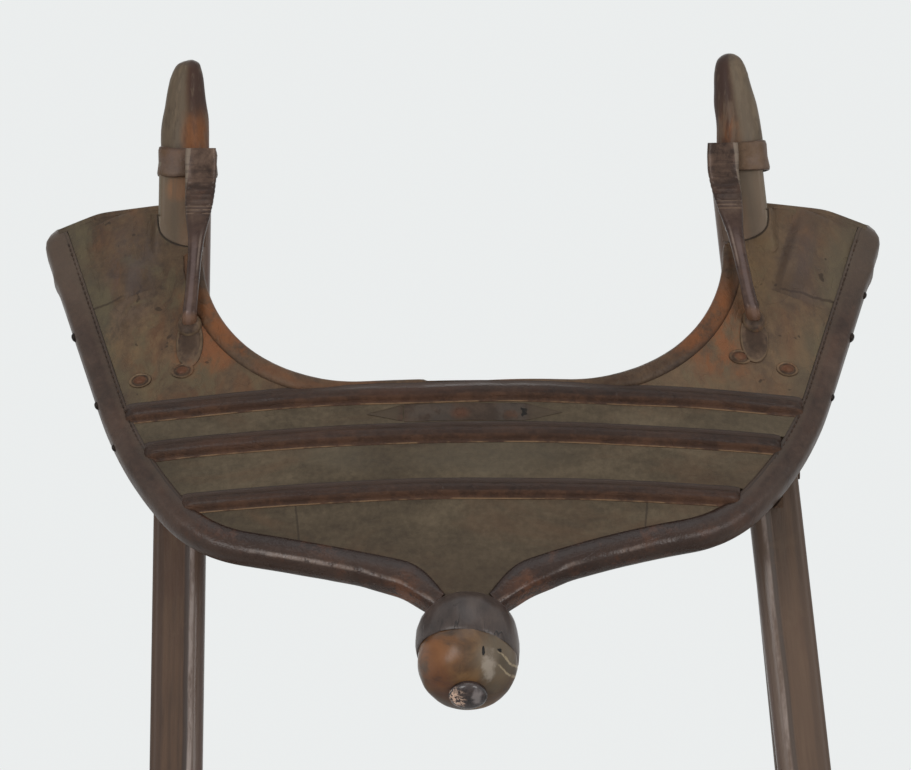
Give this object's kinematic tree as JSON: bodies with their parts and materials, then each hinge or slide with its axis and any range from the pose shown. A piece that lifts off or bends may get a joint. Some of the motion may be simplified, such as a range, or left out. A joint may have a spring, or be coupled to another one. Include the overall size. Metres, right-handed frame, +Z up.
{
  "type": "camel saddle stool",
  "caption": "Saddle stool: a bent, ribbed leather apron with a pommel hangs between two horned posts that carry a slatted seat.",
  "frame": {"origin": "on the floor, in the middle of the stool's bounding box", "axes": "+X to the viewer's right along the apron's width, +Y away from the viewer towards the back legs, +Z up along the posts"},
  "size_m": [0.63, 0.4992, 0.695],
  "materials": {
    "board_wood": "dark, rubbed, with dry edges",
    "cover_leather": "thin old hide, olive brown, dull, stained",
    "wing_leather": "thin old hide, mottled, worn to a redder brown",
    "rim_leather": "dark reddish hide, rubbed to a soft gloss",
    "rib_leather": "dark hide sewn over a core, worn pale along its foot",
    "lip_leather": "orange brown hide, worn",
    "post_leather": "hide over wood, stained, with a glossy bead",
    "horn_wood": "carved, olive brown, worn orange inside",
    "collar_leather": "hide band, dull",
    "brace_iron": "brown patina, rubbed bright on the rod",
    "foot_leather": "hide lapped over the brace's foot",
    "rivet_iron": "dull brown iron",
    "plate_iron": "dull brown plate",
    "cup_wood": "grey brown, rubbed",
    "dome_wood": "amber burr, polished, cracked",
    "boss_wood": "nearly black, polished",
    "neck_leather": "reddish hide, worn",
    "seat_wood": "brown, rubbed",
    "peg_wood": "paler end grain"
  },
  "bodies": {
    "root": {"apron_board": "board_wood", "back_cross_bar": "seat_wood", "back_leg_left": "seat_wood", "back_leg_right": "seat_wood", "brace_foot_left": "foot_leather", "brace_foot_right": "foot_leather", "brace_left": "brace_iron", "brace_right": "brace_iron", "collar_left": "collar_leather", "collar_right": "collar_leather", "cover_apron": "cover_leather", "cover_middle": "cover_leather", "cover_upper": "cover_leather", "dip_lip_left": "lip_leather", "dip_lip_right": "lip_leather", "front_cross_bar": "seat_wood", "horn_left": "horn_wood", "horn_right": "horn_wood", "mending_plate": "plate_iron", "pommel_boss": "boss_wood", "pommel_cup": "cup_wood", "pommel_dome": "dome_wood", "pommel_neck": "neck_leather", "post_left": "post_leather", "post_right": "post_leather", "rail_pegs_left": "peg_wood", "rail_pegs_right": "peg_wood", "rib_lower": "rib_leather", "rib_middle": "rib_leather", "rib_upper": "rib_leather", "rim_left": "rim_leather", "rim_right": "rim_leather", "seat_slat_1": "seat_wood", "seat_slat_2": "seat_wood", "seat_slat_3": "seat_wood", "seat_slat_4": "seat_wood", "seat_slat_5": "seat_wood", "side_rail_left": "seat_wood", "side_rail_right": "seat_wood", "wing_block_left": "board_wood", "wing_block_right": "board_wood", "wing_cover_left": "wing_leather", "wing_cover_right": "wing_leather", "wing_rivets_left": "rivet_iron", "wing_rivets_right": "rivet_iron", "wing_roll_left": "wing_leather", "wing_roll_right": "wing_leather"}
  },
  "joints": []
}
